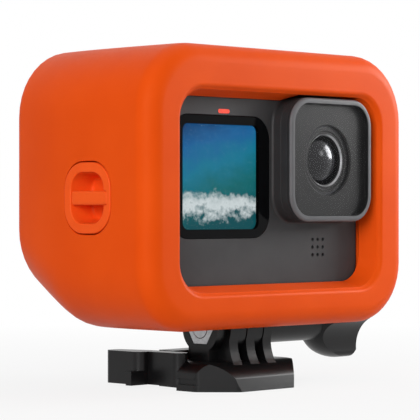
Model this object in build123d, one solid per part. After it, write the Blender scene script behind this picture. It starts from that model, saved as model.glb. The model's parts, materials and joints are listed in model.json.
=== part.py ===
"""An action camera in a floating foam case, on a quick-release buckle.

Millimetres, +Z up. The lens looks along -Y, and +X is to the right of someone who
faces the lens. The origin is on the ground, below the middle of the foam case.
"""

import os
from math import asin, cos, pi, radians, sin, sqrt

from build123d import *

# ---- Clearances ----
snug = 0.05  # glued and pressed pieces
running = 0.10  # beside pieces that slide or turn
seat = 0.20  # soft foam beside what it holds
stroke_gap = 0.30  # left over below a button at the end of its stroke

# ---- Foam case ----
case_side_wall = 12.5  # foam beside the camera
case_top_wall = 7.0
case_low_wall = 8.0
case_rear_wall = 18.4
case_lift = 16.0  # above the ground
case_top_radius = 17.2
case_low_radius = 15.6
case_front_round = 5.0
case_rear_round = 3.0
case_side_taper = 3.4  # how far each side curves in at the rear
case_taper_start = 8.0  # behind the front face
case_ramp_start = 34.8  # behind the front face
case_ramp_rise = 9.7
case_ramp_blend = 9.0

window_width = 74.2
window_height = 50.2
window_radius = 8.0
window_rise = 0.9  # middle of the window below the middle of the case
window_slope = 2.0  # the window's wall leans in by this much on each side
lens_notch_gap = 1.0  # foam beside the lens cover

rear_window_width = 62.0
rear_window_height = 42.0
rear_window_radius = 6.0
rear_window_slope = 4.0

relief_gap = 1.7  # foam around the thumb screw's knob
relief_left = 14.0  # how far the relief goes left of the middle

# ---- Tether point in the foam case ----
tether_width = 16.4
tether_height = 17.3
tether_depth = 8.0
tether_radius = 6.5
tether_wall = 2.4
tether_floor = 1.6
tether_setback = 21.7  # behind the front of the case
tether_below = 2.6  # below the middle of the case
tether_inset = 0.1  # below the foam's side
tether_bar_height = 3.45
tether_bar_depth = 2.6
tether_bar_slot = 0.35

# ---- Camera body ----
camera_width = 71.0
camera_height = 55.0
camera_depth = 33.6  # with the lens cover
camera_radius = 8.0
camera_edge = 1.0
lens_reach = 6.6  # the lens cover stands this far out of the body
shell_wall = 2.0
bezel_margin = 3.0  # shell around the bezel
bezel_radius = 5.5
rear_margin = 2.4

# ---- Front screen ----
glass_width = 35.3
glass_height = 30.6
glass_radius = 6.0
glass_thick = 1.0
glass_inset = 18.95  # middle of the glass, from the body's left side
glass_z = 2.2  # above the middle of the camera
display_width = 27.2
display_height = 26.0
display_radius = 1.8
display_thick = 1.2

# ---- Lens ----
lens_inset = 17.6  # lens axis, from the body's right side
lens_z = 6.8  # above the middle of the camera
cover_side = 31.6
cover_radius = 7.0
cover_thick = 3.6
cover_rim = 1.45
cover_bevel = 0.7
cover_glass_thick = 1.2
cover_glass_inset = 0.4
cover_window_radius = 5.4
cover_eye_radius = 9.0
cover_bore_radius = 11.6
gasket_inner = 12.2
gasket_width = 1.4
gasket_thick = 1.0
barrel_radius = 10.0
barrel_wall = 1.6
barrel_length = 17.0
barrel_setback = 2.4  # behind the front of the lens cover
ring_inner = 6.4
ring_thick = 1.4
element_thick = 3.0
element_bulge = 0.5
rear_element_radius = 5.0
rear_element_thick = 2.5
rear_seat_wall = 1.4
sensor_width = 9.0
sensor_height = 8.0
sensor_thick = 1.0
sensor_board_side = 19.0
sensor_board_thick = 0.8
spreader_width = 18.0
spreader_height = 26.0
spreader_thick = 1.0

# ---- Microphones, lights and speaker ----
mic_columns = 3
mic_rows = 3
mic_pitch = 2.0
mic_hole_radius = 0.48
mic_right = 1.7  # right of the lens axis
mic_z = -15.6  # above the middle of the camera
mesh_thick = 0.3
mic_can_side = 4.4
mic_can_thick = 1.2
light_width = 4.1
light_height = 1.05
light_right = 0.95  # right of the middle of the glass
light_z = 18.5
rear_light_inset = 11.5  # from the body's right side
rear_light_length = 2.4
speaker_width = 14.0
speaker_height = 9.0
speaker_thick = 5.0
speaker_inset = 15.5  # from the body's right side
speaker_radius = 1.5

# ---- Boards, battery, card and port ----
board_thick = 1.0
board_margin = 2.0  # inside the shell's walls
board_setback = 5.6  # behind the body's front
board_radius = 4.0
board_lens_gap = 0.6
screw_head_radius = 1.5
screw_head_thick = 0.9
screw_shank_radius = 0.8
screw_inset = 4.9  # from the board's edges
boss_radius = 1.9
battery_lens_gap = 0.5
battery_height = 33.0
battery_thick = 12.0
battery_radius = 2.0
battery_setback = 4.6  # behind the main board
battery_end_gap = 0.9  # to the side door
tab_thick = 0.3
tab_width = 8.0
tab_height = 10.0
card_length = 15.0
card_width = 11.0
card_thick = 1.0
card_z = 15.4  # above the middle of the camera
card_wall = 0.8
port_width = 9.0
port_height = 3.2
port_length = 7.4
port_wall = 0.4
port_inset = 3.2  # from the inside of the shell's left wall
flat_cable_thick = 0.3
flat_cable_width = 8.0
front_cable_right = 7.0  # right of the middle of the glass
rear_cable_left = 0.9  # left of the lens axis
cable_z = -9.0

# ---- Side door ----
door_depth = 16.0
door_height = 45.0
door_radius = 4.0
door_setback = 15.2  # middle of the door behind the body's front
seal_width = 1.2
seal_thick = 0.8
latch_width = 6.0
latch_height = 9.0
latch_thick = 1.0
latch_drop = 13.0  # above the middle of the door
door_pin_radius = 0.7
door_pin_length = 12.0
door_pin_inset = 2.6  # above the door's lower edge

# ---- Buttons ----
button_length = 13.0
button_width = 8.0
button_radius = 3.0
button_proud = 0.3
flange_width = 0.9
flange_thick = 0.9
button_stroke = 0.8
switch_side = 5.0
switch_thick = 1.6
switch_board_thick = 0.8
switch_board_length = 10.0
shutter_inset = 18.5  # from the body's left side
shutter_setback = 13.4  # behind the body's front
mode_setback = 15.4
mode_z = 6.0  # above the middle of the camera
pad_margin = 1.6  # the foam pad is wider than the button by this much all round
pad_inset = 0.3  # below the foam's surface

# ---- Rear of the camera ----
rear_cover_thick = 2.0
rear_glass_side_edge = 4.5  # from the body's side to the glass
rear_glass_top_edge = 6.0  # from the body's top or bottom to the glass
rear_glass_radius = 4.0
rear_glass_thick = 1.0
rear_display_width = 50.4
rear_display_height = 28.4
rear_display_thick = 1.5

# ---- Mount: prongs, fingers and pivot ----
pivot_setback = 12.6  # behind the body's front
pivot_z = 15.5
prong_thick = 3.1
prong_pitch = 6.2
prong_radius = 7.5
finger_thick = 2.9
finger_radius = 7.3
finger_neck = 12.0
finger_base_width = 18.0
finger_base_depth = 16.4
finger_base_height = 4.0
finger_top_gap = 0.6
finger_pin_radius = 0.8
finger_pin_lift = 1.5  # above the camera's bottom
bolt_radius = 2.4

# ---- Thumb screw and nut ----
nut_flats = 8.0
nut_thick = 3.4
nut_wall = 1.6
barrel_screw_radius = 4.7
barrel_screw_length = 23.0
knob_length = 15.0
knob_reach = 9.8
knob_waist = 5.3
knob_scallop = 8.6
knob_lobe_round = 1.4
knob_flare = 10.0
knob_end_round = 1.3
collar_radius = 5.3
collar_length = 2.2
bolt_in_knob = 14.0

# ---- Quick-release buckle ----
buckle_width = 35.6
buckle_front_reach = 13.1  # in front of the pivot
buckle_front_width = 20.0
buckle_corner = 8.2
buckle_lean = 0.9
buckle_front_height = 3.2
buckle_height = 7.3
buckle_top_corner = 4.1  # seen from the front
buckle_round_run = 7.4  # how far back the rounded top of the front runs
prong_foot = 2.6
bridge_height = 9.4
bridge_rise_run = 2.2
bridge_reach = 15.3  # behind the pivot
bridge_front_width = 24.6
bridge_end_width = 21.4
rail_height = 1.6
rail_depth = 0.9
rail_lift = 1.6
arm_thick = 4.6
arm_pivot_back = 3.4  # behind the pivot
arm_socket_depth = 1.5  # the base's sides end this far in front of the arm's pivot
arm_lift = 1.0
grip_from = 12.0  # behind the pivot
grip_length = 12.8
grip_outer = 21.0
grip_tip = 4.8  # thickness at the rear end
grip_front_corner = 2.4
grip_rear_corner = 1.8
catch_length = 2.0
catch_reach = 2.9
catch_height = 3.6

# ---- Places worked out from the sizes ----
case_width = camera_width + 2 * case_side_wall
case_height = case_low_wall + camera_height + case_top_wall
case_depth = camera_depth + case_rear_wall
case_front = -case_depth / 2
case_rear = case_depth / 2
case_middle = case_lift + case_height / 2
tether_y = case_front + tether_setback
camera_front = case_front + lens_reach
camera_rear = case_front + camera_depth
camera_low = case_lift + case_low_wall
camera_middle = camera_low + camera_height / 2
camera_top = camera_low + camera_height
bezel_back = camera_front + shell_wall
board_front = camera_front + board_setback
board_back = board_front + board_thick
cover_back = case_front + cover_thick
inner_half = camera_width / 2 - shell_wall
inner_top = camera_top - shell_wall
lens_x = camera_width / 2 - lens_inset
lens_height = camera_middle + lens_z
glass_x = -camera_width / 2 + glass_inset
mic_x = lens_x + mic_right
light_x = glass_x + light_right
rear_light_x = camera_width / 2 - rear_light_inset
rear_light_z = camera_top - (rear_margin + rear_glass_top_edge) / 2
rear_glass_width = camera_width - 2 * rear_glass_side_edge
rear_glass_height = camera_height - 2 * rear_glass_top_edge
speaker_x = camera_width / 2 - speaker_inset
front_cable_x = glass_x + front_cable_right
rear_cable_x = lens_x - rear_cable_left
shutter_x = -camera_width / 2 + shutter_inset
shutter_y = camera_front + shutter_setback
mode_y = camera_front + mode_setback
door_y = camera_front + door_setback
pivot_y = camera_front + pivot_setback
relief_radius = knob_reach + relief_gap
prong_outer = prong_pitch + prong_thick / 2
knob_start = prong_outer + running + barrel_screw_length
nut_seat = prong_outer + running
barrel_front = case_front + barrel_setback
barrel_back = barrel_front + barrel_length
button_rest = flange_thick + button_stroke + stroke_gap
port_z = inner_top - running - flange_thick - button_stroke - seat - port_height / 2
battery_left = -inner_half + battery_end_gap
battery_length = lens_x - barrel_radius - battery_lens_gap - battery_left
battery_low = camera_low + finger_base_height + seat
battery_front = board_back + battery_setback
buckle_front = pivot_y - buckle_front_reach
bridge_end = pivot_y + bridge_reach
arm_root_radius = arm_thick / 2
arm_inner = buckle_width / 2 - arm_thick
arm_pivot_x = buckle_width / 2 - arm_root_radius
arm_pivot_y = pivot_y + arm_pivot_back
buckle_side_end = arm_pivot_y - arm_socket_depth
grip_start = pivot_y + grip_from
grip_end = grip_start + grip_length


# ---- Helpers: blocks of an outline along one axis ----
def along_x(outline, low, high):
    """A block of an outline drawn as Y and Z."""
    return extrude(Plane.YZ.offset(low) * outline, high - low)


def along_y(outline, front, back):
    """A block of an outline drawn as X and Z."""
    return extrude(Plane.XZ.offset(-front) * outline, front - back)


def along_z(outline, low, high):
    """A block of an outline drawn as X and Y."""
    return extrude(Plane.XY.offset(low) * outline, high - low)


def rounded(width, height, radius, middle=(0, 0)):
    """A rectangle with round corners."""
    return Pos(*middle) * RectangleRounded(width, height, radius)


def disc(radius, middle=(0, 0)):
    """A round outline."""
    return Pos(*middle) * Circle(radius)


def tapered_y(outline_a, front, outline_b, back):
    """A block that changes from one X and Z outline to another."""
    return loft([Plane.XZ.offset(-front) * outline_a, Plane.XZ.offset(-back) * outline_b])


def mirrored_x(shape):
    """The same shape on the other side of the middle."""
    return mirror(shape, about=Plane.YZ)


# ---- Foam case ----
def case_front_outline():
    """Seen from the front: round corners, wider ones at the top."""
    outline = Pos(0, case_middle) * Rectangle(case_width, case_height)
    outline = fillet(outline.vertices().group_by(Axis.Y)[-1], case_top_radius)
    return fillet(outline.vertices().group_by(Axis.Y)[0], case_low_radius)


def case_plan():
    """Seen from above: straight sides that curve in towards the rear."""
    half = case_width / 2
    start = case_front + case_taper_start
    third = (case_rear - start) / 3
    edges = []
    for side in (-1, 1):
        edges.append(Line((side * half, case_front), (side * half, start)))
        edges.append(
            Bezier(
                (side * half, start),
                (side * half, start + third),
                (side * half, case_rear - third),
                (side * (half - case_side_taper), case_rear),
            )
        )
    edges.append(Line((-half, case_front), (half, case_front)))
    edges.append(Line((-half + case_side_taper, case_rear), (half - case_side_taper, case_rear)))
    return make_face(edges)


def case_side_outline():
    """Seen from the side: the bottom rises towards the rear."""
    top = case_lift + case_height
    ramp = (case_front + case_ramp_start, case_lift)
    outline = make_face(
        Polyline(
            (case_front, case_lift),
            ramp,
            (case_rear, case_lift + case_ramp_rise),
            (case_rear, top),
            (case_front, top),
            close=True,
        )
    )
    corner = outline.vertices().sort_by_distance((*ramp, 0))[0]
    return fillet(corner, case_ramp_blend)


def camera_outline(margin=0.0):
    """The camera body from the front."""
    return rounded(
        camera_width + 2 * margin,
        camera_height + 2 * margin,
        camera_radius + margin,
        (0, camera_middle),
    )


def window_outline(lean):
    """The front window, leaning in by this much on each side."""
    return rounded(
        window_width - 2 * lean,
        window_height - 2 * lean,
        window_radius - lean / 2,
        (0, case_middle - window_rise),
    )


def rear_window_outline(lean):
    """The rear window, leaning out by this much on each side."""
    return rounded(
        rear_window_width + 2 * lean,
        rear_window_height + 2 * lean,
        rear_window_radius + lean,
        (0, camera_middle),
    )


def relief():
    """The round channel in the foam's underside around the prongs and the knob."""
    return along_x(disc(relief_radius, (pivot_y, pivot_z)), -relief_left, case_width)


def foam_case():
    body = along_y(case_front_outline(), case_front, case_rear)
    body &= along_z(case_plan(), case_lift, case_lift + case_height)
    body &= along_x(case_side_outline(), -case_width / 2, case_width / 2)
    body = fillet(body.edges().group_by(Axis.Y)[0], case_front_round)
    body = fillet(body.edges().group_by(Axis.Y)[-1], case_rear_round)
    body -= along_y(camera_outline(seat), camera_front - seat, camera_rear + seat)
    body -= tapered_y(window_outline(0), case_front, window_outline(window_slope), camera_front)
    body -= along_y(cover_outline(lens_notch_gap), case_front, camera_front)
    body -= tapered_y(
        rear_window_outline(0), camera_rear, rear_window_outline(rear_window_slope), case_rear
    )
    body -= relief()
    body -= along_x(tether_outline(snug), -case_width / 2, -case_width / 2 + tether_back() + snug)
    body -= shutter_well()
    body -= mode_well()
    return body


# ---- Tether point ----
def tether_middle():
    """Where the tether point sits on the case's left side, as Y and Z."""
    return tether_y, case_middle - tether_below


def tether_outline(margin=0.0):
    return rounded(
        tether_width + 2 * margin,
        tether_height + 2 * margin,
        tether_radius + margin,
        tether_middle(),
    )


def tether_back():
    """How deep the tether insert's back lies in the foam's side."""
    return tether_inset + tether_depth


def tether_bar_outline(margin=0.0):
    """The bar from the side: from the cup's front wall to just before its rear wall."""
    middle_y, middle_z = tether_middle()
    front = middle_y - tether_width / 2 + tether_wall / 2
    back = middle_y + tether_width / 2 - tether_wall - tether_bar_slot
    length = back - front + 2 * margin
    return Pos((front + back) / 2, middle_z) * Rectangle(
        length, tether_bar_height + 2 * margin
    )


def tether_insert():
    """A cup of harder plastic with a rounded hollow."""
    face = -case_width / 2 + tether_inset
    cup = along_x(tether_outline(), face, face + tether_depth)
    hollow = along_x(tether_outline(-tether_wall), face, face + tether_depth - tether_floor)
    cup = chamfer(cup.edges().group_by(Axis.X)[0], tether_wall / 6)
    bar_seat = along_x(tether_bar_outline(snug), face, face + tether_bar_depth + snug)
    return cup - hollow - bar_seat


def tether_bar():
    """The bar that a tether is looped around."""
    face = -case_width / 2 + tether_inset
    bar = along_x(tether_bar_outline(), face, face + tether_bar_depth)
    return fillet(bar.edges().filter_by(Axis.Y), tether_bar_depth / 4)


# ---- Foam pads over the buttons ----
def button_outline(margin, long_first, middle):
    """A button, pad or well from above."""
    length = button_length + 2 * margin
    width = button_width + 2 * margin
    sizes = (length, width) if long_first else (width, length)
    return rounded(*sizes, button_radius + margin, middle)


def shutter_spot(margin=0.0):
    return button_outline(margin, True, (shutter_x, shutter_y))


def mode_spot(margin=0.0):
    return button_outline(margin, False, (mode_y, camera_middle + mode_z))


def shutter_well():
    return along_z(shutter_spot(pad_margin + stroke_gap), camera_middle, case_lift + case_height)


def mode_well():
    return along_x(mode_spot(pad_margin + stroke_gap), 0, case_width / 2)


def shutter_pad():
    low = camera_top + button_proud + snug
    pad = along_z(shutter_spot(pad_margin), low, case_lift + case_height - pad_inset)
    foot = along_z(shutter_spot(pad_margin), low, low + button_stroke + stroke_gap)
    foot -= along_z(shutter_spot(), low, low + button_stroke + stroke_gap)
    return fillet((pad - foot).edges().group_by(Axis.Z)[-1], button_width / 16)


def mode_pad():
    low = camera_width / 2 + button_proud + snug
    pad = along_x(mode_spot(pad_margin), low, case_width / 2 - pad_inset)
    foot = along_x(mode_spot(pad_margin), low, low + button_stroke + stroke_gap)
    foot -= along_x(mode_spot(), low, low + button_stroke + stroke_gap)
    return fillet((pad - foot).edges().group_by(Axis.X)[-1], button_width / 16)


# ---- Camera body ----
def bezel_outline(margin=0.0):
    """The bezel from the front."""
    return rounded(
        camera_width - 2 * bezel_margin + 2 * margin,
        camera_height - 2 * bezel_margin + 2 * margin,
        bezel_radius + margin,
        (0, camera_middle),
    )


def rear_outline(margin=0.0):
    """The rear cover from behind."""
    return rounded(
        camera_width - 2 * rear_margin + 2 * margin,
        camera_height - 2 * rear_margin + 2 * margin,
        camera_radius - rear_margin + margin,
        (0, camera_middle),
    )


def door_outline(margin=0.0):
    """The side door from the side."""
    return rounded(
        door_depth + 2 * margin,
        door_height + 2 * margin,
        door_radius + margin,
        (door_y, camera_middle),
    )


def body_shell():
    shell = along_y(camera_outline(), camera_front, camera_rear)
    shell = fillet(shell.edges().group_by(Axis.Y)[0], camera_edge)
    shell = fillet(shell.edges().group_by(Axis.Y)[-1], camera_edge)
    shell -= along_y(camera_outline(-shell_wall), bezel_back, camera_rear - rear_cover_thick)
    shell -= along_y(bezel_outline(snug), camera_front, bezel_back)
    shell -= along_y(rear_outline(snug), camera_rear - rear_cover_thick, camera_rear)
    shell -= along_y(glass_outline(snug), camera_front, camera_front + glass_thick + snug)
    shell -= along_x(door_outline(snug), -camera_width / 2, 0)
    shell -= along_z(finger_base_outline(snug), camera_low, camera_middle)
    shell -= along_z(shutter_spot(running), camera_middle, camera_top)
    shell -= along_x(mode_spot(running), 0, camera_width / 2)
    return shell


def glass_outline(margin=0.0):
    """The front glass."""
    return rounded(
        glass_width + 2 * margin,
        glass_height + 2 * margin,
        glass_radius + margin,
        (glass_x, camera_middle + glass_z),
    )


def display_outline(margin=0.0):
    """The lit front panel."""
    return rounded(
        display_width + 2 * margin,
        display_height + 2 * margin,
        display_radius + margin,
        (glass_x, camera_middle + glass_z),
    )


def light_outline(margin=0.0):
    """The red light on the front."""
    return Pos(light_x, camera_middle + light_z) * SlotOverall(
        light_width + 2 * margin, light_height + 2 * margin
    )


def mic_places():
    """The microphone holes' middles."""
    for column in range(mic_columns):
        for row in range(mic_rows):
            yield (
                mic_x + (column - (mic_columns - 1) / 2) * mic_pitch,
                camera_middle + mic_z + (row - (mic_rows - 1) / 2) * mic_pitch,
            )


def screw_places():
    """The main board's screws, as X and Z."""
    across = inner_half - board_margin - screw_inset
    up = camera_height / 2 - shell_wall - board_margin - screw_inset
    return [(sx * across, camera_middle + sz * up) for sx in (-1, 1) for sz in (-1, 1)]


def front_bezel():
    bezel = along_y(bezel_outline(), camera_front, bezel_back)
    for place in screw_places():
        bezel += along_y(disc(boss_radius, place), bezel_back, board_front)
        bezel -= along_y(disc(screw_shank_radius + snug, place), camera_front + glass_thick, board_front)
    bezel -= along_y(glass_outline(snug), camera_front, camera_front + glass_thick + snug)
    bezel -= along_y(display_outline(snug), camera_front, bezel_back)
    bezel -= along_y(light_outline(snug), camera_front, bezel_back)
    bezel -= along_y(disc(barrel_radius + snug, (lens_x, lens_height)), camera_front, bezel_back)
    for place in mic_places():
        bezel -= along_y(disc(mic_hole_radius, place), camera_front, bezel_back)
    return bezel


def front_screen_glass():
    glass = along_y(glass_outline(), camera_front, camera_front + glass_thick)
    return chamfer(glass.edges().group_by(Axis.Y)[0], glass_thick / 5)


def front_display():
    front = camera_front + glass_thick
    return along_y(display_outline(), front, front + display_thick)


def status_led():
    return along_y(light_outline(), camera_front, board_front)


def mic_mesh():
    return along_y(
        Pos(mic_x, camera_middle + mic_z) * Rectangle(mic_columns * mic_pitch, mic_rows * mic_pitch),
        bezel_back,
        bezel_back + mesh_thick,
    )


def microphone():
    front = bezel_back + mesh_thick
    return along_y(
        rounded(mic_can_side, mic_can_side, mic_can_side / 8, (mic_x, camera_middle + mic_z)),
        front,
        front + mic_can_thick,
    )


# ---- Lens ----
def on_lens(outline):
    """An outline with its middle on the lens axis."""
    return Pos(lens_x, lens_height) * outline


def cover_outline(margin=0.0):
    return on_lens(
        RectangleRounded(cover_side + 2 * margin, cover_side + 2 * margin, cover_radius + margin)
    )


def cover_window(margin=0.0):
    """The square window with round corners inside the cover's rim."""
    side = cover_side - 2 * cover_rim + 2 * margin
    return on_lens(RectangleRounded(side, side, cover_window_radius + margin))


def lens_ring(outer, inner, front, back):
    """A ring around the lens axis."""
    return along_y(on_lens(Circle(outer) - Circle(inner)), front, back)


def lens_hood():
    """The square step between the body and the lens cover."""
    hood = along_y(cover_outline(), cover_back, camera_front)
    hood -= along_y(on_lens(Circle(barrel_radius + snug)), cover_back, camera_front)
    outer = gasket_inner + gasket_width
    return hood - lens_ring(outer + snug, gasket_inner - snug, cover_back, cover_back + gasket_thick)


def lens_gasket():
    return lens_ring(gasket_inner + gasket_width, gasket_inner, cover_back, cover_back + gasket_thick)


def lens_cover_frame():
    """A rim around the glass and a plate with an eye over the wider bore for the barrel."""
    frame = along_y(cover_outline(), case_front, cover_back)
    frame = chamfer(frame.edges().group_by(Axis.Y)[0], cover_bevel)
    recess = cover_glass_inset + cover_glass_thick
    frame -= along_y(cover_window(snug), case_front, case_front + recess + snug)
    frame -= along_y(on_lens(Circle(cover_eye_radius)), case_front, cover_back)
    return frame - along_y(on_lens(Circle(cover_bore_radius)), barrel_front - running, cover_back)


def lens_cover_glass():
    front = case_front + cover_glass_inset
    return along_y(cover_window(), front, front + cover_glass_thick)


def lens_barrel():
    """A tube with a seat for the rear element."""
    tube = lens_ring(barrel_radius, barrel_radius - barrel_wall, barrel_front, barrel_back)
    seat_front = barrel_back - rear_element_thick
    return tube + lens_ring(
        barrel_radius, rear_element_radius + snug, seat_front - rear_seat_wall, barrel_back
    )


def lens_retaining_ring():
    inner_wall = barrel_radius - barrel_wall - snug
    return lens_ring(inner_wall, ring_inner, barrel_front, barrel_front + ring_thick)


def lens_front_element():
    """A glass disc that bulges out through the retaining ring."""
    inner_wall = barrel_radius - barrel_wall - snug
    rim_front = barrel_front + ring_thick
    disc_part = lens_ring_disc(inner_wall, rim_front, rim_front + element_thick)
    dome_reach = ring_thick + element_bulge - snug
    dome_base = ring_inner - snug
    sphere_radius = (dome_base**2 + dome_reach**2) / (2 * dome_reach)
    middle = rim_front - dome_reach + sphere_radius
    dome = Pos(lens_x, middle, lens_height) * Sphere(sphere_radius)
    dome &= lens_ring_disc(dome_base, rim_front - dome_reach, rim_front)
    return disc_part + dome


def lens_ring_disc(radius, front, back):
    """A disc on the lens axis."""
    return along_y(on_lens(Circle(radius)), front, back)


def lens_rear_element():
    return lens_ring_disc(rear_element_radius, barrel_back - rear_element_thick, barrel_back)


def image_sensor():
    return along_y(
        on_lens(Rectangle(sensor_width, sensor_height)), barrel_back, barrel_back + sensor_thick
    )


def sensor_board():
    front = barrel_back + sensor_thick
    return along_y(
        on_lens(RectangleRounded(sensor_board_side, sensor_board_side, sensor_thick)),
        front,
        front + sensor_board_thick,
    )


def heat_spreader():
    front = barrel_back + sensor_thick + sensor_board_thick
    return along_y(
        on_lens(RectangleRounded(spreader_width, spreader_height, sensor_thick)),
        front,
        front + spreader_thick,
    )


# ---- Boards and what is on them ----
def main_board():
    width = 2 * (inner_half - board_margin)
    height = camera_height - 2 * (shell_wall + board_margin)
    board = along_y(rounded(width, height, board_radius, (0, camera_middle)), board_front, board_back)
    board -= lens_ring_disc(barrel_radius + board_lens_gap, board_front, board_back)
    for place in screw_places():
        board -= along_y(disc(screw_shank_radius + snug, place), board_front, board_back)
    return board


def board_screws():
    """Four screws, heads on the board's rear face."""
    screws = []
    for place in screw_places():
        screw = along_y(disc(screw_head_radius, place), board_back, board_back + screw_head_thick)
        screw += along_y(disc(screw_shank_radius, place), bezel_back, board_back)
        screws.append(screw)
    return Compound(screws)


def battery():
    """The battery rests on the finger base and fills the room beside the lens."""
    middle = (battery_left + battery_length / 2, battery_low + battery_height / 2)
    return along_y(
        rounded(battery_length, battery_height, battery_radius, middle),
        battery_front,
        battery_front + battery_thick,
    )


def battery_pull_tab():
    middle = (battery_front + battery_thick / 2, battery_low + battery_height / 2)
    tab = Pos(*middle) * Rectangle(tab_width, tab_height)
    return along_x(tab, battery_left - tab_thick, battery_left)


def card_box(margin):
    """The memory card, or the hollow around it, with the card's short end to the door."""
    front = board_back + card_wall
    left = -inner_half + battery_end_gap
    return along_z(
        Pos(left + card_length / 2, front + card_width / 2)
        * Rectangle(card_length + 2 * margin, card_width + 2 * margin),
        camera_middle + card_z - card_thick / 2 - margin,
        camera_middle + card_z + card_thick / 2 + margin,
    )


def memory_card():
    return card_box(0)


def card_slot():
    left = -inner_half + battery_end_gap + card_length / 4
    slot = along_z(
        Pos(left + card_length / 2, board_back + card_width / 2 + card_wall)
        * Rectangle(card_length, card_width + 2 * card_wall),
        camera_middle + card_z - card_thick / 2 - card_wall,
        camera_middle + card_z + card_thick / 2 + card_wall,
    )
    return slot - card_box(snug)


def usb_port():
    left = -inner_half + port_inset
    middle = (board_back + port_width / 2, port_z)
    outer = Pos(*middle) * SlotOverall(port_width, port_height)
    inner = Pos(*middle) * SlotOverall(port_width - 2 * port_wall, port_height - 2 * port_wall)
    shell = along_x(outer, left, left + port_length)
    return shell - along_x(inner, left, left + port_length - port_wall)


def speaker():
    middle = (speaker_x, camera_low + shell_wall + speaker_height / 2 + snug)
    return along_y(
        rounded(speaker_width, speaker_height, speaker_radius, middle),
        board_back + screw_head_thick + stroke_gap,
        board_back + screw_head_thick + stroke_gap + speaker_thick,
    )


def flat_cable(middle_x, front, back):
    """A flat cable that runs straight back at one height."""
    low = camera_middle + cable_z
    return along_z(
        Pos(middle_x, (front + back) / 2) * Rectangle(flat_cable_width, back - front),
        low,
        low + flat_cable_thick,
    )


def front_flat_cable():
    return flat_cable(front_cable_x, camera_front + glass_thick + display_thick, board_front)


def rear_flat_cable():
    return flat_cable(rear_cable_x, board_back, camera_rear - rear_glass_thick - rear_display_thick)


# ---- Side door ----
def door_pin_place():
    """The door's hinge pin, as X and Z."""
    return (
        -camera_width / 2 + shell_wall / 2,
        camera_middle - door_height / 2 + door_pin_inset,
    )


def door_pin_block(margin):
    return along_y(
        disc(door_pin_radius + margin, door_pin_place()),
        door_y - door_pin_length / 2 - margin,
        door_y + door_pin_length / 2 + margin,
    )


def latch_outline(margin=0.0):
    return rounded(
        latch_width + 2 * margin,
        latch_height + 2 * margin,
        latch_width / 4 + margin,
        (door_y, camera_middle + latch_drop),
    )


def side_door():
    outer = -camera_width / 2
    door = along_x(door_outline(), outer, outer + shell_wall)
    door &= along_y(camera_outline(), camera_front, camera_rear)
    door -= along_x(latch_outline(snug), outer, outer + latch_thick + snug)
    return door - door_pin_block(snug)


def door_hinge_pin():
    return door_pin_block(0)


def door_latch():
    outer = -camera_width / 2
    return along_x(latch_outline(), outer, outer + latch_thick)


def door_seal():
    """A rubber frame on the inside of the door."""
    inside = -inner_half
    ring = door_outline(-seal_width / 4) - door_outline(-seal_width / 4 - seal_width)
    return along_x(ring, inside, inside + seal_thick)


# ---- Buttons ----
def shutter_button():
    cap_low = inner_top - running
    button = along_z(shutter_spot(), cap_low, camera_top + button_proud)
    return button + along_z(shutter_spot(flange_width), cap_low - flange_thick, cap_low)


def mode_button():
    cap_low = inner_half - running
    button = along_x(mode_spot(), cap_low, camera_width / 2 + button_proud)
    return button + along_x(mode_spot(flange_width), cap_low - flange_thick, cap_low)


def shutter_switch():
    top = inner_top - running - button_rest
    return along_z(
        rounded(switch_side, switch_side, switch_side / 8, (shutter_x, shutter_y)),
        top - switch_thick,
        top,
    )


def mode_switch():
    top = inner_half - running - button_rest
    return along_x(
        rounded(switch_side, switch_side, switch_side / 8, (mode_y, camera_middle + mode_z)),
        top - switch_thick,
        top,
    )


def shutter_switch_board():
    top = inner_top - running - button_rest - switch_thick
    back = shutter_y + switch_side
    outline = Pos(shutter_x, (board_back + back) / 2) * Rectangle(
        switch_board_length, back - board_back
    )
    return along_z(outline, top - switch_board_thick, top)


def mode_switch_board():
    top = inner_half - running - button_rest - switch_thick
    back = mode_y + switch_side
    outline = Pos((board_back + back) / 2, camera_middle + mode_z) * Rectangle(
        back - board_back, switch_board_length
    )
    return along_x(outline, top - switch_board_thick, top)


# ---- Rear of the camera ----
def rear_glass_outline(margin=0.0):
    return rounded(
        rear_glass_width + 2 * margin,
        rear_glass_height + 2 * margin,
        rear_glass_radius + margin,
        (0, camera_middle),
    )


def rear_display_outline(margin=0.0):
    return Pos(0, camera_middle) * Rectangle(
        rear_display_width + 2 * margin, rear_display_height + 2 * margin
    )


def rear_light_outline(margin=0.0):
    """The light above the rear glass."""
    return Pos(rear_light_x, rear_light_z) * SlotOverall(
        light_width + 2 * margin, light_height + 2 * margin
    )


def rear_cover():
    cover = along_y(rear_outline(), camera_rear - rear_cover_thick, camera_rear)
    cover -= along_y(rear_glass_outline(snug), camera_rear - rear_glass_thick - snug, camera_rear)
    cover -= along_y(rear_display_outline(snug), camera_rear - rear_cover_thick, camera_rear)
    return cover - along_y(rear_light_outline(snug), camera_rear - rear_cover_thick, camera_rear)


def rear_screen_glass():
    return along_y(rear_glass_outline(), camera_rear - rear_glass_thick, camera_rear)


def rear_display():
    back = camera_rear - rear_glass_thick
    return along_y(rear_display_outline(), back - rear_display_thick, back)


def rear_status_led():
    return along_y(rear_light_outline(), camera_rear - rear_light_length, camera_rear)


# ---- Camera fingers ----
def pivot_disc(radius):
    """A round outline on the pivot, as Y and Z."""
    return disc(radius, (pivot_y, pivot_z))


def finger_base_outline(margin=0.0):
    """The block that carries the fingers, from below."""
    return Pos(0, pivot_y) * Rectangle(
        finger_base_width + 2 * margin, finger_base_depth + 2 * margin
    )


def finger_neck_outline(top, margin=0.0):
    """The straight part of a finger from the side."""
    return Pos(pivot_y, (pivot_z + top) / 2) * Rectangle(finger_neck + 2 * margin, top - pivot_z)


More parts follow.
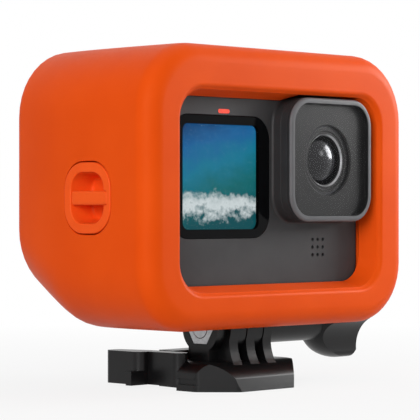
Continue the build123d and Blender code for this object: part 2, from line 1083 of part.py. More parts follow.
def finger_sides(side, margin=0.0):
    """The two X values between which a finger lies."""
    middle = side * prong_pitch / 2
    return middle - finger_thick / 2 - margin, middle + finger_thick / 2 + margin


def finger(side):
    top = camera_low + finger_base_height - finger_top_gap - snug
    plate = along_x(pivot_disc(finger_radius), *finger_sides(side))
    plate += along_x(finger_neck_outline(top), *finger_sides(side))
    plate -= along_x(pivot_disc(bolt_radius + running), *finger_sides(side))
    return plate - finger_pin(side, snug)


def finger_pin(side, margin=0.0):
    place = (side * prong_pitch / 2, camera_low + finger_pin_lift)
    reach = finger_base_depth / 2 + margin
    return along_y(disc(finger_pin_radius + margin, place), pivot_y - reach, pivot_y + reach)


def finger_base():
    top = camera_low + finger_base_height
    base = along_z(finger_base_outline(), camera_low, top)
    for side in (-1, 1):
        slot = finger_neck_outline(top - finger_top_gap, snug)
        base -= along_x(slot, *finger_sides(side, snug))
        base -= finger_pin(side, snug)
    return base


def finger_hinge_pins():
    return Compound([finger_pin(side) for side in (-1, 1)])


# ---- Thumb screw and nut ----
def knob_outline():
    """Three lobes with hollows between them, one lobe straight down."""
    scallop_out = knob_waist + knob_scallop
    outline = Circle(knob_reach)
    for turn in (30, 150, 270):
        angle = radians(turn + 180)
        outline -= disc(knob_scallop, (scallop_out * cos(angle), scallop_out * sin(angle)))
    return fillet(outline.vertices(), knob_lobe_round)


def arc_to_level(start, end):
    """An arc from one point to another, level where it ends."""
    run, rise = end[0] - start[0], end[1] - start[1]
    radius = (run**2 + rise**2) / (2 * rise)
    turn = asin(run / radius) / 2
    middle = (end[0] - radius * sin(turn), end[1] - radius * (1 - cos(turn)))
    return ThreePointArc(start, middle, end)


def knob_envelope():
    """What the knob is turned from: it flares out of the barrel."""
    end = knob_start + knob_length
    flare_end = (knob_start + knob_flare, knob_reach)
    flare = arc_to_level((knob_start, barrel_screw_radius), flare_end)
    rest = Polyline(
        flare_end,
        (end - knob_end_round, knob_reach),
        (end, knob_reach - knob_end_round),
        (end, 0),
        (knob_start, 0),
        (knob_start, barrel_screw_radius),
    )
    solid = revolve(make_face([flare, rest]), Axis.X)
    return Pos(0, pivot_y, pivot_z) * solid


def thumb_screw_knob():
    start = prong_outer + running
    outline = Pos(pivot_y, pivot_z) * knob_outline()
    knob = along_x(outline, knob_start, knob_start + knob_length) & knob_envelope()
    knob += along_x(pivot_disc(barrel_screw_radius), start, knob_start + knob_flare)
    knob += along_x(pivot_disc(collar_radius), start, start + collar_length)
    return knob - along_x(pivot_disc(bolt_radius + snug), start, start + bolt_in_knob + snug)


def thumb_screw_bolt():
    left = -nut_seat - nut_thick - snug
    return along_x(pivot_disc(bolt_radius), left, prong_outer + running + bolt_in_knob)


def nut_outline(margin=0.0):
    across = nut_flats / 2 + margin
    return Pos(pivot_y, pivot_z) * RegularPolygon(across, 6, major_radius=False)


def hex_nut():
    nut = along_x(nut_outline(), -nut_seat - nut_thick, -nut_seat)
    return nut - along_x(pivot_disc(bolt_radius + snug), -nut_seat - nut_thick, -nut_seat)


# ---- Quick-release buckle ----
def buckle_plan():
    """The base from above: a wide front block and a narrower bridge behind the prongs."""
    half = buckle_width / 2
    corner = buckle_front + buckle_corner
    right = [
        (buckle_front_width / 2, buckle_front),
        (half, corner),
        (half, buckle_side_end),
        (bridge_front_width / 2, buckle_side_end),
        (bridge_end_width / 2, bridge_end),
    ]
    left = [(-x, y) for x, y in reversed(right)]
    outline = make_face(Polyline(*right, *left, close=True))
    front = outline.vertices().filter_by_position(Axis.Y, buckle_front - 1, corner + 1)
    return fillet(front, buckle_corner / 3)


def buckle_side():
    """The base from the side: a leaning front, a round top and a step up to the bridge."""
    lean_top = (buckle_front + buckle_lean, buckle_front_height)
    round_end = (lean_top[0] + buckle_round_run, buckle_height)
    prong_back = pivot_y + prong_radius
    rest = Polyline(
        round_end,
        (prong_back, buckle_height),
        (prong_back + bridge_rise_run, bridge_height),
        (bridge_end, bridge_height),
        (bridge_end, 0),
        (buckle_front, 0),
        lean_top,
    )
    return make_face([arc_to_level(lean_top, round_end), rest])


def buckle_face():
    """The base from the front: round upper corners, and the taller bridge between them."""
    block = Pos(0, buckle_height / 2) * Rectangle(buckle_width, buckle_height)
    block = fillet(block.vertices().group_by(Axis.Y)[-1], buckle_top_corner)
    return block + Pos(0, bridge_height / 2) * Rectangle(bridge_front_width, bridge_height)


def prong_outline():
    """A prong from the side: a round top on a foot that flares out to the front."""
    front = pivot_y - prong_radius
    back = pivot_y + prong_radius
    foot = make_face(
        [
            Polyline(
                (front, pivot_z),
                (back, pivot_z),
                (back, 0),
                (front - prong_foot, 0),
                (front - prong_foot, buckle_height - prong_foot),
            ),
            ThreePointArc(
                (front - prong_foot, buckle_height - prong_foot),
                (front - prong_foot / 4, buckle_height),
                (front, pivot_z),
            ),
        ]
    )
    return foot + pivot_disc(prong_radius)


def prong(middle):
    """One upright plate on the pivot."""
    return along_x(prong_outline(), middle - prong_thick / 2, middle + prong_thick / 2)


def nut_boss():
    """The round boss that holds the nut, on a web down to the base."""
    radius = nut_flats / sqrt(3) + nut_wall
    left = -nut_seat - nut_thick
    web = Pos(pivot_y, pivot_z / 2) * Rectangle(radius, pivot_z)
    return along_x(pivot_disc(radius), left, -prong_outer) + along_x(web, left, -prong_outer)


def rail_grooves():
    """The grooves along both sides that run on a base plate's rails."""
    level = (0, rail_lift + rail_height / 2)
    groove = Pos(*level) * Rectangle(2 * buckle_width, rail_height)
    groove -= Pos(*level) * Rectangle(buckle_width - 2 * rail_depth, rail_height)
    return along_y(groove, buckle_front + buckle_corner, buckle_side_end)


def buckle_base():
    half = buckle_width / 2
    base = along_z(buckle_plan(), 0, pivot_z) & along_x(buckle_side(), -half, half)
    base &= along_y(buckle_face(), buckle_front, bridge_end)
    for step in (-1, 0, 1):
        base += prong(step * prong_pitch)
    base += nut_boss()
    base -= along_x(nut_outline(snug), -nut_seat - nut_thick, -nut_seat + snug)
    base -= along_x(pivot_disc(bolt_radius + running), -half, half)
    base -= rail_grooves()
    for side in (-1, 1):
        socket = disc(arm_root_radius + running, (side * arm_pivot_x, arm_pivot_y))
        base -= along_z(socket, 0, pivot_z)
    return base


def arm_plan():
    """The right squeeze arm from above: a round root, a straight bar and a wider grip."""
    half = buckle_width / 2
    bar = make_face(
        Polyline(
            (arm_inner, arm_pivot_y),
            (half, arm_pivot_y),
            (half, grip_start),
            (grip_outer, grip_start),
            (grip_outer, grip_end),
            (grip_outer - grip_tip, grip_end),
            (arm_inner, bridge_end),
            close=True,
        )
    )
    bar = fillet(bar.vertices().group_by(Axis.Y)[-1], grip_rear_corner)
    outer_front = bar.vertices().filter_by_position(Axis.Y, grip_start, grip_start).sort_by(Axis.X)
    bar = fillet(outer_front[-1], grip_front_corner)
    return bar + disc(arm_root_radius, (arm_pivot_x, arm_pivot_y))


def buckle_arm_right():
    """A squeeze arm with a catch like a low fin at the front of its grip."""
    arm = along_z(arm_plan(), arm_lift, bridge_height)
    root = buckle_width / 2
    tip = grip_outer + catch_reach
    catch = Pos((root + tip) / 2, grip_start + catch_length / 2) * Rectangle(tip - root, catch_length)
    return arm + along_z(catch, arm_lift, arm_lift + catch_height)


def buckle_arm_left():
    return mirrored_x(buckle_arm_right())


NODES = {
    "foam_case": foam_case,
    "tether_insert": tether_insert,
    "tether_bar": tether_bar,
    "shutter_pad": shutter_pad,
    "mode_pad": mode_pad,
    "body_shell": body_shell,
    "front_bezel": front_bezel,
    "front_screen_glass": front_screen_glass,
    "front_display": front_display,
    "status_led": status_led,
    "mic_mesh": mic_mesh,
    "microphone": microphone,
    "lens_hood": lens_hood,
    "lens_gasket": lens_gasket,
    "lens_cover_frame": lens_cover_frame,
    "lens_cover_glass": lens_cover_glass,
    "lens_barrel": lens_barrel,
    "lens_retaining_ring": lens_retaining_ring,
    "lens_front_element": lens_front_element,
    "lens_rear_element": lens_rear_element,
    "image_sensor": image_sensor,
    "sensor_board": sensor_board,
    "heat_spreader": heat_spreader,
    "main_board": main_board,
    "board_screws": board_screws,
    "battery": battery,
    "battery_pull_tab": battery_pull_tab,
    "memory_card": memory_card,
    "card_slot": card_slot,
    "usb_port": usb_port,
    "speaker": speaker,
    "front_flat_cable": front_flat_cable,
    "rear_flat_cable": rear_flat_cable,
    "side_door": side_door,
    "door_hinge_pin": door_hinge_pin,
    "door_latch": door_latch,
    "door_seal": door_seal,
    "shutter_button": shutter_button,
    "mode_button": mode_button,
    "shutter_switch": shutter_switch,
    "mode_switch": mode_switch,
    "shutter_switch_board": shutter_switch_board,
    "mode_switch_board": mode_switch_board,
    "rear_cover": rear_cover,
    "rear_screen_glass": rear_screen_glass,
    "rear_display": rear_display,
    "rear_status_led": rear_status_led,
    "finger_left": lambda: finger(-1),
    "finger_right": lambda: finger(1),
    "finger_base": finger_base,
    "finger_hinge_pins": finger_hinge_pins,
    "thumb_screw_knob": thumb_screw_knob,
    "thumb_screw_bolt": thumb_screw_bolt,
    "hex_nut": hex_nut,
    "buckle_base": buckle_base,
    "buckle_arm_left": buckle_arm_left,
    "buckle_arm_right": buckle_arm_right,
}

os.makedirs("parts", exist_ok=True)
for node, build in NODES.items():
    export_step(build(), f"parts/{node}.step")
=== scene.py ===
"""The looks of the action camera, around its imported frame. Metres, +Z up, lens along -Y.

Pieces with soft or fine shapes are built as skins through rows of points; the others keep
their CAD shape with rounded edges. Every piece stands for a CAD node and rides on its body.
"""

import json
import math

import bmesh
import bpy
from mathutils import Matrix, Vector


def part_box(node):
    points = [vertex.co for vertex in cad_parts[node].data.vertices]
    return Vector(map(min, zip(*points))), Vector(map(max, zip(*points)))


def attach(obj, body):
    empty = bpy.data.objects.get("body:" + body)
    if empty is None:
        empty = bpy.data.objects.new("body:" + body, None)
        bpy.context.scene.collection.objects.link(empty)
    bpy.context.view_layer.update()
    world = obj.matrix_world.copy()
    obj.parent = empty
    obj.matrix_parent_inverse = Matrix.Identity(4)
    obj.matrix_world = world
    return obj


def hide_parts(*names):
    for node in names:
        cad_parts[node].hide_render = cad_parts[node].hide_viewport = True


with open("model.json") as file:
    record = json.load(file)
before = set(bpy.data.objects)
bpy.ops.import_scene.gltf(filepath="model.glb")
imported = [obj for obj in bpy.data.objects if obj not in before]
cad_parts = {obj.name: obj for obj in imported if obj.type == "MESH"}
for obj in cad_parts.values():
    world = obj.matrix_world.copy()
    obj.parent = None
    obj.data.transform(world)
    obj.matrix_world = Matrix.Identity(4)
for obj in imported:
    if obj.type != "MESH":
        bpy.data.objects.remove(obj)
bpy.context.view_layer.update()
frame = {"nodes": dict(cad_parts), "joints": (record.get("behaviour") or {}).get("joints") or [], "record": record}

SLOTS = {entry["node"]: entry["material_slot"] for entry in frame["record"]["subparts"]}
BODIES = frame["record"]["behaviour"]["bodies"]

MM = 0.001
X_AXIS, Y_AXIS, Z_AXIS = range(3)
CORNER_STEPS = 10  # points on each round corner of an outline
SIDE_STEPS = 6  # points on each straight side of an outline
CIRCLE_STEPS = 96  # points on a circle
EDGE_STEPS = 5  # rows on a rounded edge


# ---- Outlines ----
def rounded_loop(width, height, radius, middle):
    """The points of a rectangle with round corners, from the upper end of its right side.

    radius is one number, or the radii of the top and the bottom corners.
    """
    top, low = radius if isinstance(radius, tuple) else (radius, radius)
    half_w, half_h = width / 2, height / 2
    corners = (
        (half_w, half_h, top, 0),
        (-half_w, half_h, top, 90),
        (-half_w, -half_h, low, 180),
        (half_w, -half_h, low, 270),
    )
    points = []
    for x, z, r, start in corners:
        cx = x - math.copysign(r, x)
        cz = z - math.copysign(r, z)
        arc = []
        for i in range(CORNER_STEPS + 1):
            angle = math.radians(start + 90 * i / CORNER_STEPS)
            arc.append((cx + r * math.cos(angle), cz + r * math.sin(angle)))
        if points:
            points.extend(between(points[-1], arc[0]))
        points.extend(arc)
    points.extend(between(points[-1], points[0]))
    return [(x + middle[0], z + middle[1]) for x, z in points]


def between(a, b):
    """The points that divide a straight side."""
    return [
        (a[0] + (b[0] - a[0]) * i / SIDE_STEPS, a[1] + (b[1] - a[1]) * i / SIDE_STEPS)
        for i in range(1, SIDE_STEPS)
    ]


def circle_loop(radius, middle):
    """The points of a circle."""
    points = []
    for i in range(CIRCLE_STEPS):
        angle = 2 * math.pi * i / CIRCLE_STEPS
        points.append(
            (middle[0] + radius * math.cos(angle), middle[1] + radius * math.sin(angle))
        )
    return points


def onto_circle(loop, radius, middle):
    """A loop's points moved in or out to a circle."""
    moved = []
    for x, z in loop:
        dx, dz = x - middle[0], z - middle[1]
        far = math.hypot(dx, dz)
        moved.append((middle[0] + dx * radius / far, middle[1] + dz * radius / far))
    return moved


def quarter(steps=EDGE_STEPS, first=0):
    """The steps of a quarter round, as two shares of its radius.

    The one falls from 1 to 0 while the other rises from 0 to 1.
    """
    shares = []
    for i in range(first, steps + 1):
        angle = math.pi / 2 * i / steps
        shares.append((1 - math.sin(angle), 1 - math.cos(angle)))
    return shares


def place_y(loop, y):
    """Points drawn as X and Z, at one Y."""
    return [Vector((x, y, z)) for x, z in loop]


def place_x(loop, x):
    """Points drawn as Y and Z, at one X."""
    return [Vector((x, y, z)) for y, z in loop]


def place_z(loop, z):
    """Points drawn as X and Y, at one Z."""
    return [Vector((x, y, z)) for x, y in loop]


# ---- Meshes ----
def skin(name, rows, closed=False):
    """A mesh from rows of points, each row a closed loop.

    closed joins the last row to the first; otherwise both ends are filled.
    """
    mesh = bmesh.new()
    made = [[mesh.verts.new(p) for p in row] for row in rows]
    pairs = list(zip(made, made[1:]))
    if closed:
        pairs.append((made[-1], made[0]))
    for low, high in pairs:
        for i in range(len(low)):
            j = (i + 1) % len(low)
            mesh.faces.new((low[i], low[j], high[j], high[i]))
    if not closed:
        mesh.faces.new(made[0][::-1])
        mesh.faces.new(made[-1])
    bmesh.ops.recalc_face_normals(mesh, faces=mesh.faces)
    data = bpy.data.meshes.new(name)
    mesh.to_mesh(data)
    mesh.free()
    piece = bpy.data.objects.new(name, data)
    bpy.context.collection.objects.link(piece)
    return piece


def smooth(piece, sharp_from):
    """Smooth shading, with the edges of this many degrees and more left sharp."""
    data = piece.data
    mesh = bmesh.new()
    mesh.from_mesh(data)
    for face in mesh.faces:
        face.smooth = True
    for edge in mesh.edges:
        edge.smooth = edge.is_manifold and edge.calc_face_angle(0) < math.radians(sharp_from)
    mesh.to_mesh(data)
    mesh.free()
    even = piece.modifiers.new("even", "WEIGHTED_NORMAL")
    even.keep_sharp = True
    return apply_all(piece)


def apply_all(piece):
    """The piece's modifiers, applied to its mesh."""
    bpy.context.view_layer.update()
    graph = bpy.context.evaluated_depsgraph_get()
    data = bpy.data.meshes.new_from_object(piece.evaluated_get(graph))
    piece.modifiers.clear()
    piece.data = data
    return piece


def cut(piece, *cutters):
    """The piece less the cutters, which go."""
    for cutter in cutters:
        step = piece.modifiers.new("cut", "BOOLEAN")
        step.operation = "DIFFERENCE"
        step.solver = "EXACT"
        step.object = cutter
        apply_all(piece)
        bpy.data.objects.remove(cutter)
    return piece


def slab_rows(outline, front, back, edge, steps):
    """Rows of an upright slab with rounded edges.

    outline(inset) gives a loop, front and back are its two ends along Y, and edge holds
    a radius for each end.
    """
    rows = [
        place_y(outline(edge[0] * falling), front + edge[0] * rising)
        for falling, rising in quarter(steps)
    ]
    rows += [
        place_y(outline(edge[1] * falling), back - edge[1] * rising)
        for falling, rising in reversed(quarter(steps))
    ]
    return rows


def node_size(node):
    """A CAD node's box: its lowest corner, its size and its middle."""
    low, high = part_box(node)
    low, high = Vector(low), Vector(high)
    return low, high - low, (low + high) / 2


def outline_of(node, axis, radius):
    """A function of how much to grow that gives a node's round-cornered outline."""
    _, size, middle = node_size(node)
    width, height = [size[i] for i in range(3) if i != axis]
    at = tuple(middle[i] for i in range(3) if i != axis)

    def loop(extra):
        return rounded_loop(width + 2 * extra, height + 2 * extra, radius + extra, at)

    return loop


WELD = 1e-6  # points of the CAD mesh that are closer than this are one
FLAT_DEGREES = 0.5  # neighbouring faces within this angle are one
EDGE_DEGREES = 25  # edges from this angle on are rounded
EDGE_SEGMENTS = 3


def softened(node, name, width):
    """A copy of a CAD node with its sharp edges rounded, which stands for the node."""
    data = frame["nodes"][node].data.copy()
    piece = bpy.data.objects.new(name, data)
    bpy.context.collection.objects.link(piece)
    mesh = bmesh.new()
    mesh.from_mesh(data)
    bmesh.ops.remove_doubles(mesh, verts=mesh.verts, dist=WELD)
    bmesh.ops.dissolve_limit(
        mesh, angle_limit=math.radians(FLAT_DEGREES), verts=mesh.verts, edges=mesh.edges
    )
    mesh.to_mesh(data)
    mesh.free()
    data.materials.clear()
    bevel = piece.modifiers.new("round", "BEVEL")
    bevel.width = width
    bevel.segments = EDGE_SEGMENTS
    bevel.limit_method = "ANGLE"
    bevel.angle_limit = math.radians(EDGE_DEGREES)
    bevel.miter_outer = "MITER_ARC"
    apply_all(piece)
    smooth(piece, sharp_from=40)
    return stand_for(piece, node)


def paint_rows(piece, per_row, slot, bands):
    """Another of the piece's materials for some bands between the rows of a skin."""
    for band in bands:
        for face in piece.data.polygons[band * per_row : (band + 1) * per_row]:
            face.material_index = slot


def stand_for(piece, node):
    """The piece takes the place of a CAD node, on its body."""
    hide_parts(node)
    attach(piece, next(body for body, members in BODIES.items() if node in members))
    return piece


# ---- Materials ----
class Nodes:
    """A material and short ways to add nodes to it."""

    def __init__(self, name):
        self.material = bpy.data.materials.new(name)
        self.material.use_nodes = True
        self.tree = self.material.node_tree
        self.shader = self.tree.nodes["Principled BSDF"]
        self.place = self.add("ShaderNodeTexCoord").outputs["Object"]

    def add(self, kind, inputs=None, **settings):
        """A node of this kind; its inputs are values or other nodes' outputs."""
        made = self.tree.nodes.new(kind)
        for key, value in settings.items():
            setattr(made, key, value)
        for key, value in (inputs or {}).items():
            if isinstance(value, bpy.types.NodeSocket):
                self.tree.links.new(value, made.inputs[key])
            else:
                made.inputs[key].default_value = value
        return made

    def set(self, **values):
        """The shader's sockets, by name, each a value or another node's output."""
        for key, value in values.items():
            socket = self.shader.inputs[key.replace("_", " ")]
            if isinstance(value, bpy.types.NodeSocket):
                self.tree.links.new(value, socket)
            else:
                socket.default_value = value

    def noise(self, per_mm, detail=2.0, rough=0.5, stretch=(1, 1, 1)):
        """Noise with this many features per millimetre, along stretched axes."""
        scaled = self.add(
            "ShaderNodeMapping", {"Vector": self.place, "Scale": [s / MM for s in stretch]}
        )
        return self.add(
            "ShaderNodeTexNoise",
            {"Vector": scaled.outputs[0], "Scale": per_mm, "Detail": detail, "Roughness": rough},
        ).outputs["Fac"]

    def cells(self, per_mm):
        """The distance to the nearest of small scattered points."""
        scaled = self.add("ShaderNodeMapping", {"Vector": self.place, "Scale": [1 / MM] * 3})
        return self.add(
            "ShaderNodeTexVoronoi", {"Vector": scaled.outputs[0], "Scale": per_mm}
        ).outputs["Distance"]

    def span(self, value, low, high):
        """A 0 to 1 value moved to a range."""
        return self.add(
            "ShaderNodeMapRange", {"Value": value, "To Min": low, "To Max": high}
        ).outputs["Result"]

    def blend(self, factor, a, b):
        """One colour blended into another."""
        ramp = self.add("ShaderNodeValToRGB", {"Fac": factor})
        ramp.color_ramp.elements[0].color = (*a, 1)
        ramp.color_ramp.elements[1].color = (*b, 1)
        ramp.color_ramp.elements[0].position = 0.3
        ramp.color_ramp.elements[1].position = 0.7
        return ramp.outputs["Color"]

    def mix(self, factor, a, b):
        """Colour a where the factor is 0 and colour b where it is 1."""
        return self.add("ShaderNodeMixRGB", {0: factor, 1: a, 2: b}).outputs[0]

    def bump(self, height, depth_mm, strength=1.0, normal=None):
        """A bump this deep."""
        inputs = {"Height": height, "Distance": depth_mm * MM, "Strength": strength}
        if normal is not None:
            inputs["Normal"] = normal
        return self.add("ShaderNodeBump", inputs).outputs["Normal"]


def srgb(red, green, blue):
    """A colour written as 0 to 255, in linear light."""

    def one(value):
        value /= 255
        return value / 12.92 if value <= 0.04045 else ((value + 0.055) / 1.055) ** 2.4

    return one(red), one(green), one(blue)


def foam_material():
    """Moulded closed-cell foam: a satin skin with a fine dimpled grain."""
    m = Nodes("orange_foam")
    m.set(
        Base_Color=m.blend(m.noise(0.05, 3), srgb(230, 78, 14), srgb(237, 84, 18)),
        Roughness=m.span(m.noise(0.9, 3), 0.4, 0.52),
        Specular_IOR_Level=0.11,
        Specular_Tint=(1.0, 0.6, 0.26, 1),
        Normal=m.bump(m.cells(2.6), 0.03, 0.35, m.bump(m.noise(0.25, 2), 0.05, 0.5)),
    )
    return m.material


def moulded_material(name, one, other, rough, grain_depth=0.02, grain=3.5, gloss=0.2):
    """A moulded plastic or rubber with a fine spark-eroded grain."""
    m = Nodes(name)
    m.set(
        Specular_IOR_Level=gloss,
        Base_Color=m.blend(m.noise(0.12, 3), one, other),
        Roughness=m.span(m.noise(1.1, 3), rough - 0.05, rough + 0.06),
        Normal=m.bump(m.noise(grain, 2, 0.6), grain_depth, 0.5),
    )
    return m.material


def metal_material(name, one, other, rough, brushed=(1, 1, 1)):
    """Turned or rolled metal."""
    m = Nodes(name)
    m.set(
        Base_Color=m.blend(m.noise(0.6, 2, 0.5, brushed), one, other),
        Metallic=1.0,
        Roughness=m.span(m.noise(1.5, 2, 0.5, brushed), rough - 0.06, rough + 0.08),
        Normal=m.bump(m.noise(3.0, 2, 0.5, brushed), 0.008, 0.4),
    )
    return m.material


def black_glass_material():
    """Cover glass over a black mask, with faint smears."""
    m = Nodes("black_glass")
    m.set(
        Base_Color=m.blend(m.noise(0.08, 2), srgb(9, 10, 11), srgb(14, 15, 17)),
        Roughness=m.span(m.noise(0.22, 4), 0.05, 0.14),
        Specular_IOR_Level=0.06,
    )
    return m.material


def clear_glass_material(name, cover):
    """Thin cover glass that lets most light straight through, with a soft gleam."""
    m = Nodes(name)
    m.set(
        Base_Color=m.blend(m.noise(0.2, 3), srgb(9, 9, 10), srgb(14, 14, 16)),
        Roughness=m.span(m.noise(0.2, 3), 0.3, 0.36),
        Alpha=cover,
    )
    return m.material


def lens_glass_material():
    """A coated front element, dark with a blue-violet cast."""
    m = Nodes("lens_glass")
    m.set(
        Base_Color=m.blend(m.noise(0.25, 1), srgb(9, 9, 12), srgb(15, 15, 19)),
        Roughness=m.span(m.noise(0.4, 2), 0.16, 0.24),
        Specular_IOR_Level=0.2,
        Coat_Weight=0.6,
        Coat_Roughness=0.16,
        Coat_Tint=(0.9, 0.92, 1.0, 1),
    )
    return m.material


def red_light_material():
    """A red light pipe, lit from behind."""
    m = Nodes("red_light")
    glow = m.blend(m.noise(0.8, 2), srgb(214, 40, 24), srgb(240, 70, 40))
    m.set(
        Base_Color=glow,
        Roughness=m.span(m.noise(1.0, 2), 0.25, 0.35),
        Emission_Color=glow,
        Emission_Strength=0.35,
    )
    return m.material


def board_material():
    """Green solder mask over fine tracks."""
    m = Nodes("green_board")
    m.set(
        Base_Color=m.blend(m.noise(1.2, 4, 0.7), srgb(16, 60, 34), srgb(30, 92, 50)),
        Roughness=m.span(m.noise(1.0, 3), 0.3, 0.5),
        Normal=m.bump(m.noise(1.4, 3), 0.04, 0.5),
    )
    return m.material


def picture_material():
    """The lit front display: a generic deep blue sea with a band of foam and some spray."""
    low, size, _ = node_size("front_display")
    m = Nodes("front_picture")
    place = m.add("ShaderNodeSeparateXYZ", {"Vector": m.place})

    def share(axis, start, span):
        """0 to 1 along one axis of the display."""
        return m.add(
            "ShaderNodeMapRange",
            {"Value": place.outputs[axis], "From Min": start, "From Max": start + span},
        ).outputs["Result"]

    def math_node(operation, first, second):
        return m.add("ShaderNodeMath", {0: first, 1: second}, operation=operation).outputs[0]

    def ramp(level, *stops):
        """Colours along a level, from (position, colour) pairs."""
        node = m.add("ShaderNodeValToRGB", {"Fac": level})
        points = node.color_ramp.elements
        points[0].position, points[0].color = stops[0][0], (*stops[0][1], 1)
        points[1].position, points[1].color = stops[-1][0], (*stops[-1][1], 1)
        for position, colour in stops[1:-1]:
            points.new(position).color = (*colour, 1)
        return node.outputs["Color"]

    up = share("Z", low.z, size.z)
    across = share("X", low.x, size.x)
    swell = math_node("ADD", up, m.span(m.noise(0.16, 6, 0.62, (0.8, 1, 1.4)), -0.2, 0.2))
    water = ramp(
        math_node("ADD", swell, math_node("MULTIPLY", across, -0.25)),
        (0.0, srgb(6, 84, 92)),
        (0.25, srgb(10, 112, 118)),
        (0.5, srgb(12, 128, 160)),
        (0.75, srgb(20, 106, 168)),
        (1.0, srgb(8, 66, 120)),
    )
    foam = ramp(
        math_node("ADD", swell, m.span(m.noise(0.7, 6, 0.7), -0.12, 0.12)),
        (0.1, (0, 0, 0)),
        (0.2, (1, 1, 1)),
        (0.27, (0.8, 0.8, 0.8)),
        (0.36, (0, 0, 0)),
    )
    spray = ramp(m.noise(2.2, 4, 0.7), (0.62, (0, 0, 0)), (0.74, (1, 1, 1)))
    glitter = math_node("MULTIPLY", spray, up)
    m.set(
        Base_Color=(0.01, 0.01, 0.01, 1),
        Roughness=0.3,
        Specular_IOR_Level=0.03,
        Emission_Color=m.mix(
            foam,
            m.mix(glitter, water, (*srgb(150, 214, 226), 1)),
            (*srgb(228, 238, 240), 1),
        ),
        Emission_Strength=0.8,
    )
    return m.material


MOULDED = {  # two colours that blend, and what differs from the defaults
    "orange_plastic": (
        (242, 86, 24), (248, 92, 28), {"rough": 0.42, "grain_depth": 0.012, "gloss": 0.12}
    ),
    "body_rubber": ((56, 56, 57), (62, 62, 63), {"rough": 0.5, "grain_depth": 0.03, "grain": 2.6}),
    "grey_plastic": ((96, 96, 98), (104, 104, 106), {"rough": 0.36, "grain_depth": 0.012}),
    "black_plastic": ((14, 14, 15), (19, 19, 20), {"rough": 0.3, "gloss": 0.24}),
    "lens_plastic": ((44, 44, 45), (50, 50, 51), {"rough": 0.42, "grain_depth": 0.012}),
    "black_panel": (
        (19, 19, 20), (24, 24, 25), {"rough": 0.35, "grain_depth": 0.0005, "gloss": 0.26}
    ),
    "seal_rubber": ((24, 24, 24), (30, 30, 30), {"rough": 0.7}),
    "battery_skin": ((46, 46, 48), (54, 54, 56), {"rough": 0.45, "grain_depth": 0.01}),
    "copper_film": ((150, 92, 40), (170, 108, 52), {"rough": 0.4, "grain_depth": 0.01}),
}
METALS = {
    "bare_metal": ((196, 196, 198), (210, 210, 212), {"rough": 0.4}),
    "dark_metal": ((50, 50, 52), (62, 62, 64), {"rough": 0.35}),
    "steel": ((150, 150, 152), (172, 172, 174), {"rough": 0.3, "brushed": (0.3, 2, 2)}),
}
COVER_GLEAM = 0.06  # how much of the lens window's own gleam shows
SCREEN_GLEAM = 0.03


def make_materials():
    """The materials by name: one for each slot of the record, and a few for parts of a piece."""
    made = {
        "orange_foam": foam_material(),
        "screen_glass": black_glass_material(),
        "clear_glass": clear_glass_material("clear_glass", COVER_GLEAM),
        "screen_window": clear_glass_material("screen_window", SCREEN_GLEAM),
        "front_picture": picture_material(),
        "lens_glass": lens_glass_material(),
        "red_light": red_light_material(),
        "green_board": board_material(),
    }
    for table, material in ((MOULDED, moulded_material), (METALS, metal_material)):
        for name, (one, other, looks) in table.items():
            made[name] = material(name, srgb(*one), srgb(*other), **looks)
    return made


def dress_nodes(materials):
    """Every CAD node in its slot's material."""
    for node, slot in SLOTS.items():
        data = frame["nodes"][node].data
        data.materials.clear()
        data.materials.append(materials[slot])


def dress(piece, *materials):
    """The piece, with these materials in this order."""
    for material in materials:
        piece.data.materials.append(material)
    return piece


MATERIALS = make_materials()
dress_nodes(MATERIALS)


# ---- Foam case ----
CASE_LOW, CASE_SIZE, CASE_MIDDLE = node_size("foam_case")
CAMERA_LOW, CAMERA_SIZE, CAMERA_MIDDLE = node_size("body_shell")
CASE_RADII = (17.2 * MM, 15.6 * MM)  # the upper and the lower corners
CASE_LEAST_RADIUS = 1 * MM
CASE_FRONT_ROUND = 5.0 * MM
CASE_REAR_ROUND = 3.0 * MM
CASE_SIDE_ROWS = 30
CASE_TAPER = 3.4 * MM
CASE_TAPER_START = 8.0 * MM
CASE_RAMP_START = 34.8 * MM
CASE_RAMP_RISE = 9.7 * MM
CASE_RAMP_BLEND = 4.6 * MM
WINDOW = (74.2 * MM, 50.2 * MM, 8.0 * MM)  # width, height, corner radius
WINDOW_DROP = 0.9 * MM
WINDOW_SLOPE = 2.0 * MM
WINDOW_ROUND = 1.1 * MM
WINDOW_WALL_STEPS = 4
LIP_ROUND = 0.5 * MM
REAR_WINDOW = (62 * MM, 42 * MM, 6 * MM)  # width, height, corner radius
REAR_SLOPE = 4.0 * MM
REAR_WINDOW_ROUND = 2.0 * MM
SEAT = 0.2 * MM  # between the camera and the foam
CAMERA_RADIUS = 8.0 * MM
COVER_RADIUS = 7.0 * MM
NOTCH_MARGIN = 1.0 * MM  # around the lens cover
NOTCH_START = 1.5 * MM  # behind the front
WELL_LIP = 0.5 * MM
WELL_LIP_SHAPE = ((-1, 0), (-0.3, 0.3), (0.8, 1.6))  # how far out and how far open, in lips
PAD_RADIUS = 4.6 * MM
PAD_GAP = 0.3 * MM
TETHER_RADIUS = 6.5 * MM
TETHER_GAP = 0.24 * MM
CHANNEL_RADIUS = 11.5 * MM  # around the pivot
CHANNEL_LEFT = -14 * MM


